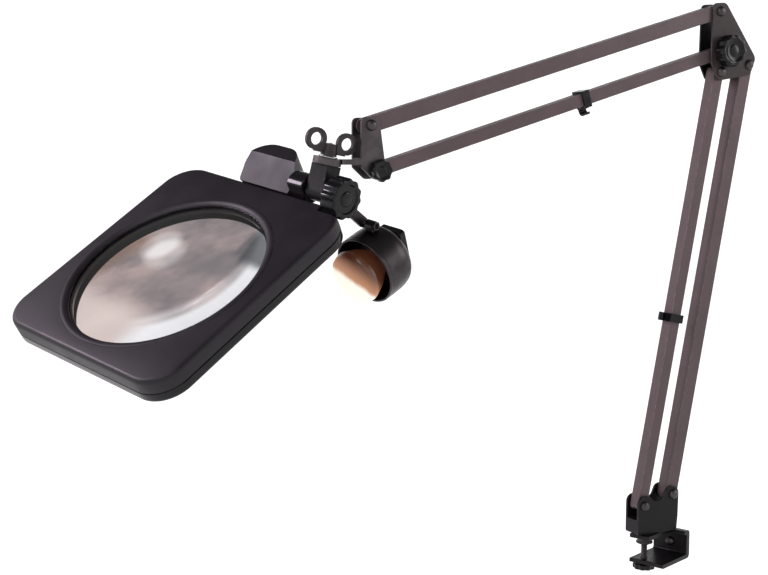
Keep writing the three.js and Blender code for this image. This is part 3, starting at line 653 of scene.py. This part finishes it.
# %% [markdown]
# The magnifier's frame is two shells that meet at a fine seam. Both are made as a stack of loops with the same
# number of points: the outer loops are rounded rectangles, the inner ones are circles round the lens, and each
# point on a circle lies on the ray to its point on the rectangle. The stack closes on itself, so the shell is one
# solid ring.

# %% Loops of the magnifier's frame
FRAME_LONG, FRAME_WIDE, CORNER, THICK, SPLIT = 165, 155, 21, 17, -10
LENS_SHIFT = -4.8
X_FAR, X_NEAR = -FRAME_LONG / 2 - LENS_SHIFT, FRAME_LONG / 2 - LENS_SHIFT


def frame_loop(inset, z):
    r = CORNER - inset
    x_low, x_high, y = X_FAR + inset + r, X_NEAR - inset - r, FRAME_WIDE / 2 - inset - r
    centres = [(x_high, y), (x_low, y), (x_low, -y), (x_high, -y)]
    loop = []
    for quarter, (cx, cy) in enumerate(centres):
        for k in range(19):
            a = math.pi / 2 * (quarter + k / 18)
            loop.append(Vector((cx + r * math.cos(a), cy + r * math.sin(a), z)))
        nx, ny = centres[(quarter + 1) % 4]
        end = math.pi / 2 * (quarter + 1)
        start = loop[-1]
        finish = Vector((nx + r * math.cos(end), ny + r * math.sin(end), z))
        loop += [start.lerp(finish, k / 24) for k in range(1, 24)]
    return loop


def round_loop(radius, z):
    loop = []
    for p in frame_loop(0, z):
        ray = Vector((p.x, p.y, 0)).normalized() * radius
        loop.append(Vector((ray.x, ray.y, z)))
    return loop


def shell(name, loops, finish, node):
    around = len(loops[0])
    points = [p for loop in loops for p in loop]
    faces = ring_faces(len(loops), around, closed=True)
    return piece(name, points, faces, panel_frame, "magnifier", finish, (node,), sharp=30)


def round_over(radius, z, towards):
    """Loops that carry the side wall round into a flat face."""
    loops = []
    for k in range(7):
        a = math.pi / 2 * k / 6
        loops.append(frame_loop(radius * (1 - math.cos(a)), z + towards * radius * math.sin(a)))
    return loops


print("points in a loop", len(frame_loop(0, 0)))

# %% [markdown]
# The upper shell has a soft shoulder and a low bead round the lens. The lower shell is glossy, with a smaller
# shoulder, and it carries the seat of the ring that holds the lens.

# %% The two shells
SEAT, LIP, SINK = 65.6, 63.5, 2.2
seam = 0.15
upper_loops = [frame_loop(0.35, SPLIT + seam), frame_loop(0, SPLIT + seam + 0.4)]
upper_loops += round_over(3.0, -3.0, 1)
upper_loops += [round_loop(68.6, 0), round_loop(68.2, 0.35), round_loop(67.0, 0.5), round_loop(65.6, 0.3)]
upper_loops += [round_loop(LIP + 0.5, -0.6), round_loop(LIP, -1.2), round_loop(LIP, -SINK)]
upper_loops += [round_loop(SEAT, -SINK), round_loop(SEAT, SPLIT + seam)]
upper_shell = shell("frame_upper_shell", upper_loops, satin_black, "magnifier_upper_shell")

lower_loops = [frame_loop(0.35, SPLIT - seam), frame_loop(0, SPLIT - seam - 0.4)]
lower_loops += round_over(2.5, 2.5 - THICK, -1)
lower_loops += [round_loop(66.5, -THICK), round_loop(LIP, -THICK + 0.5), round_loop(LIP - 1.5, -THICK + 1.4)]
lower_loops += [round_loop(LIP - 1.5, -THICK + SINK), round_loop(SEAT, -THICK + SINK), round_loop(SEAT, SPLIT - seam)]
lower_shell = shell("frame_lower_shell", lower_loops, black_gloss, "magnifier_lower_shell")


print("shells", upper_shell.name, lower_shell.name)

# %% [markdown]
# The tilt knob turns close to one corner of the frame, so both shells have a round notch there. A boolean with a
# cylinder on the tilt axis cuts it, and the result is applied at once, so that the cutter can be thrown away.

# %% The notch for the tilt knob
def notch(target, radius, long, centre):
    points, faces = capped_shape([(radius, -long / 2), (radius, long / 2)], 96)
    mesh = bpy.data.meshes.new("notch")
    place = panel_frame @ Matrix.Translation(centre) @ turn("X", 90)
    mesh.from_pydata([(place @ Vector(p)) * MM for p in points], [], faces)
    cutter = bpy.data.objects.new("notch", mesh)
    bpy.context.scene.collection.objects.link(cutter)
    cut = target.modifiers.new("notch", "BOOLEAN")
    cut.operation, cut.object, cut.solver = "DIFFERENCE", cutter, "EXACT"
    bpy.context.view_layer.update()
    result = bpy.data.meshes.new_from_object(target.evaluated_get(bpy.context.evaluated_depsgraph_get()))
    target.modifiers.clear()
    target.data = result
    result.shade_smooth()
    result.set_sharp_from_angle(angle=math.radians(30))
    bpy.data.objects.remove(cutter)


NOTCH_RADIUS, NOTCH_LONG = 14, 22
NOTCH_PLAY = 1
NOTCH_CENTRE = Vector((HINGE.x, HINGE.y - KNUCKLE_HALF - NOTCH_PLAY - NOTCH_LONG / 2, HINGE.z))
for target in (upper_shell, lower_shell):
    notch(target, NOTCH_RADIUS, NOTCH_LONG, NOTCH_CENTRE)
print("shell faces", len(upper_shell.data.polygons), len(lower_shell.data.polygons))

# %% [markdown]
# The lens is a thick double-convex disc. Its two faces are shallow caps, so the profile is a parabola on each side
# with a ground edge between them. A plastic ring under it holds it in its seat.

# %% The lens and its ring
LENS_EDGE, DOME = 2.4, 5.6
edge_top = -SINK - 0.3
edge_low = edge_top - LENS_EDGE
lens_r = SEAT - 0.3
steps = 24
profile = [(lens_r * k / steps, edge_low - DOME * (1 - (k / steps) ** 2)) for k in range(steps + 1)]
profile += [(lens_r * k / steps, edge_top + DOME * (1 - (k / steps) ** 2)) for k in range(steps, -1, -1)]
points, faces = turned_shape(profile, 160)
piece("magnifier_lens", points, faces, panel_frame, "magnifier", lens_glass.material, ("lens",))

ring_top = edge_low - 1
ring_inner = LIP - 1.5
profile = rounded([
    (ring_inner, ring_top - 1.7, 0), (ring_inner, ring_top - 3.4, 0.5), (lens_r, ring_top - 3.4, 0.4),
    (lens_r, ring_top, 0.3), (ring_inner, ring_top, 0.5), (ring_inner, ring_top - 1.7, 0),
])
points, faces = turned_shape(profile, 120)
piece(
    "lens_holding_ring", points, faces, panel_frame, "magnifier", black_gloss,
    ("lens_retaining_ring",),
)
print("lens across in mm", 2 * lens_r)

# %% [markdown]
# Four screws hold the shells together from below. Each has a pan head with a cross recess, which is modelled as
# four thin sunk arms: the ring of the head is drawn with points that drop inside the cross.

# %% Shell screws
def cross_screw(name, centre, node):
    around, rings = 48, 14
    points = []
    for ring in range(rings + 1):
        r = 3.0 * ring / rings
        for i in range(around):
            a = 2 * math.pi * i / around
            x, y = r * math.cos(a), r * math.sin(a)
            crown = 2.2 * (1 - 0.45 * (r / 3.0) ** 3)
            in_arm = min(abs(x), abs(y)) < 0.36 and max(abs(x), abs(y)) < 1.8
            points.append((x, y, crown - 0.9 if in_arm else crown))
    points += [(3.0 * math.cos(2 * math.pi * i / around), 3.0 * math.sin(2 * math.pi * i / around), 0.0)
               for i in range(around)]
    faces = ring_faces(rings + 2, around)
    faces.append(tuple(range(len(points) - around, len(points))))
    place = panel_frame @ Matrix.Translation(centre) @ turn("X", 180)
    piece(name, points, faces, place, "magnifier", plated_steel, (node,), sharp=30)


INSET = 12
spots = [(X_FAR + INSET, -1), (X_NEAR - INSET, -1), (X_NEAR - INSET, 1), (X_FAR + INSET, 1)]
for number, (x, side) in enumerate(spots, start=1):
    centre = (x, side * (FRAME_WIDE / 2 - INSET), -THICK - 0.3)
    cross_screw(f"frame_screw_{number}", centre, f"shell_screw_{number}")
print("screws", len(spots))

# %% [markdown]
# The little lamp is a spun shade with a rolled rim, open at the front, round a reflector bulb that stands a little
# proud of it. The shade is turned from one profile that goes out over the drum and back inside. A lug on top takes
# the tilt pin.

# %% The lamp's shade
SHADE_R, SHADE_DEEP, SHADE_WALL, RIM, DROP = 23, 26, 1.4, -14.6, -26.5
lamp_axis = lamp_frame @ Matrix.Translation((RIM, 0, DROP)) @ turn("Y", 90)
outside = [
    (SHADE_R - SHADE_WALL, 1.2, 0), (SHADE_R - SHADE_WALL, 0.3, 0.3), (SHADE_R - 0.5, -0.05, 0.4),
    (SHADE_R, 0.6, 0.5), (SHADE_R - 0.2, 2.2, 0.6), (SHADE_R, 3.4, 0.6), (SHADE_R, 17, 4),
    (SHADE_R - 1.8, 22.5, 3), (SHADE_R - 6.5, SHADE_DEEP, 2.5), (8, SHADE_DEEP, 0.3),
    (8, SHADE_DEEP - SHADE_WALL, 0.3),
    (SHADE_R - 6.8, SHADE_DEEP - SHADE_WALL, 2), (SHADE_R - 3, 21, 3), (SHADE_R - SHADE_WALL, 16.6, 3),
    (SHADE_R - SHADE_WALL, 1.2, 0),
]
points, faces = turned_shape(rounded(outside), 112)
piece("lamp_shade_drum", points, faces, lamp_axis, "lamp", dark_plating, ("lamp_shade",))


def lug_shape(half, reach, wide):
    """A flat ear, round at its top, that hangs down from the pin to the shade."""
    outline = [(-half, -reach), (half, -reach)]
    outline += [(half * math.cos(a), half * math.sin(a)) for a in [math.pi * k / 16 for k in range(17)]]
    points = [(x, y, z) for y in (-wide / 2, wide / 2) for x, z in outline]
    count = len(outline)
    return points, ring_faces(2, count) + [tuple(range(count)), tuple(reversed(range(count, 2 * count)))]


points, faces = lug_shape(3.0, 4.6, 6.0)
piece("lamp_shade_lug", points, faces, lamp_frame, "lamp", dark_plating, ("lamp_shade",))
print("shade across in mm", 2 * SHADE_R)

# %% [markdown]
# The bulb's face is a shallow frosted dome, and its side flares from the neck to a round shoulder. They are two
# pieces, because only the face is frosted.

# %% The bulb
FACE_R, FACE_TOP, FACE_RISE, FACE_BACK, FACE_STEPS = 17.0, -14.6, 4.2, -9.6, 18
face_profile = []
for k in range(FACE_STEPS + 1):
    a = math.pi / 2 * k / FACE_STEPS
    face_profile.append((FACE_R * math.sin(a), FACE_TOP + FACE_RISE * (1 - math.cos(a))))
points, faces = turned_shape(face_profile + [(FACE_R - 0.6, FACE_BACK), (0, FACE_BACK)], 96)
piece("bulb_frosted_face", points, faces, lamp_axis, "lamp", bulb_face_glow, ("reflector_bulb",))
side_profile = rounded([
    (0, -9.5, 0), (17.0, -10.2, 0.3), (18.5, -7, 2.2), (14.5, 3, 3),
    (9, 10.5, 3), (5.5, 16, 2), (5.5, 20, 0), (0, 20, 0),
])
points, faces = turned_shape(side_profile, 96)
piece("bulb_coated_side", points, faces, lamp_axis, "lamp", bulb_side_glow, ("reflector_bulb",))

print("bulb pieces made")

# %% [markdown]
# A brass holder grips the bulb's neck. It is turned too, with one fine groove where its two halves meet. The push
# switch sits off the centre of the shade's back, in a plated collar.

# %% The holder and the switch
holder = rounded([
    (0, 21, 0), (7.2, 21, 0.4), (7.2, 25, 0.2), (6.8, 25.4, 0.2), (7.2, 25.8, 0.2), (7.2, 30, 0.5), (0, 30, 0),
])
points, faces = turned_shape(holder, 64)
piece("brass_holder", points, faces, lamp_axis, "lamp", dull_brass, ("lampholder",))

SWITCH_OUT = 12 + 1.5
switch_frame = lamp_axis @ Matrix.Translation((SWITCH_OUT, 0, SHADE_DEEP + 0.3))
collar = rounded([(2.75, 0, 0), (4.2, 0, 0.1), (4.2, 1.6, 0.4), (2.75, 1.6, 0.2), (2.75, 0, 0)])
points, faces = turned_shape(collar, 48)
piece("switch_collar", points, faces, switch_frame, "lamp", plated_steel)
button = rounded([(0, 1.4, 0), (2.55, 1.4, 0.1), (2.55, 3.6, 0.7), (0, 4.4, 0)])
points, faces = turned_shape(button, 48)
piece("switch_button", points, faces, switch_frame, "switch", black_gloss, ("push_switch",))
print("holder and switch made")

# %% [markdown]
# The balance springs lie inside the thick tubes and show only through their open ends. They are kept as the frame
# has them, and only take their finish.

# %% Springs
for node in ("lower_spring", "lower_spring_wire", "upper_spring", "upper_spring_wire"):
    mesh = nodes[node].data
    mesh.materials.clear()
    mesh.materials.append(plated_steel)
left = [name for name, o in nodes.items() if not o.hide_render]
print("CAD nodes still shown", left)

# %% [markdown]
# The floor is a pale sheet that curves up like a bowl far away on every side, so that no horizon shows. It glows a
# little, as a lit studio floor does, which keeps it pale without strong lamps.

# %% Floor
FLOOR = -36 * MM


def backdrop():
    floor = Finish("pale_floor", Roughness=0.9, Specular_IOR_Level=0.1, Emission_Strength=0.88)
    floor.set("Base Color", floor.blend(floor.noise(300.0), (0.5, 0.5, 0.5, 1), (0.47, 0.47, 0.47, 1)))
    floor.set("Emission Color", (1, 1, 1, 1))
    reach, bend, high, around = 6.0, 1.6, 3.2, 96
    rows = [(0.0, 0.0), (reach - bend, 0.0)]
    rows += [(reach - bend + bend * math.sin(a), bend - bend * math.cos(a)) for a in
             [math.pi / 2 * k / 12 for k in range(1, 13)]]
    rows.append((reach, high))
    points, faces = turned_shape([(r, FLOOR + z) for r, z in rows], around)
    mesh = bpy.data.meshes.new("floor")
    mesh.from_pydata(points, [], faces)
    mesh.shade_smooth()
    mesh.materials.append(floor.material)
    sheet = bpy.data.objects.new("floor", mesh)
    bpy.context.scene.collection.objects.link(sheet)


backdrop()
print("floor at mm", FLOOR / MM)

# %% [markdown]
# The sky is dim, because the lamp is nearly black and should stay so. Three soft round panels draw the highlights:
# one high on the left, one on the right, and a rosy one behind the head that lightens the far end of the frame's top.

# %% Light
def soft_panel(name, place, aim, size, power, colour=(1, 1, 1)):
    data = bpy.data.lights.new(name, "AREA")
    data.shape, data.size, data.size_y = "ELLIPSE", size[0], size[1]
    data.energy, data.color = power, colour
    lamp = bpy.data.objects.new(name, data)
    lamp.location = place
    lamp.rotation_euler = (Vector(aim) - Vector(place)).to_track_quat("-Z", "Y").to_euler()
    bpy.context.scene.collection.objects.link(lamp)


HEAD = panel_frame.translation * MM
soft_panel("key_panel", (-1.1, -0.5, 1.1), HEAD, (0.9, 0.7), 6)
soft_panel("edge_panel", (0.9, -0.6, 0.7), (0, 0, 0.2), (0.4, 0.8), 4)
BACK_LEFT = Vector((-0.68, 0.46, 0.58)).normalized() * 0.75
soft_panel("back_panel", HEAD + BACK_LEFT, HEAD, (0.24, 0.24), 5, (1.0, 0.86, 1.0))
sky = bpy.data.worlds.new("pale_sky")
sky.use_nodes = True
sky.node_tree.nodes["Background"].inputs["Color"].default_value = (1.0, 0.99, 0.985, 1)
sky.node_tree.nodes["Background"].inputs["Strength"].default_value = 0.15
bpy.context.scene.world = sky
bpy.context.scene.view_settings.view_transform = "Standard"
print("panels", 3)
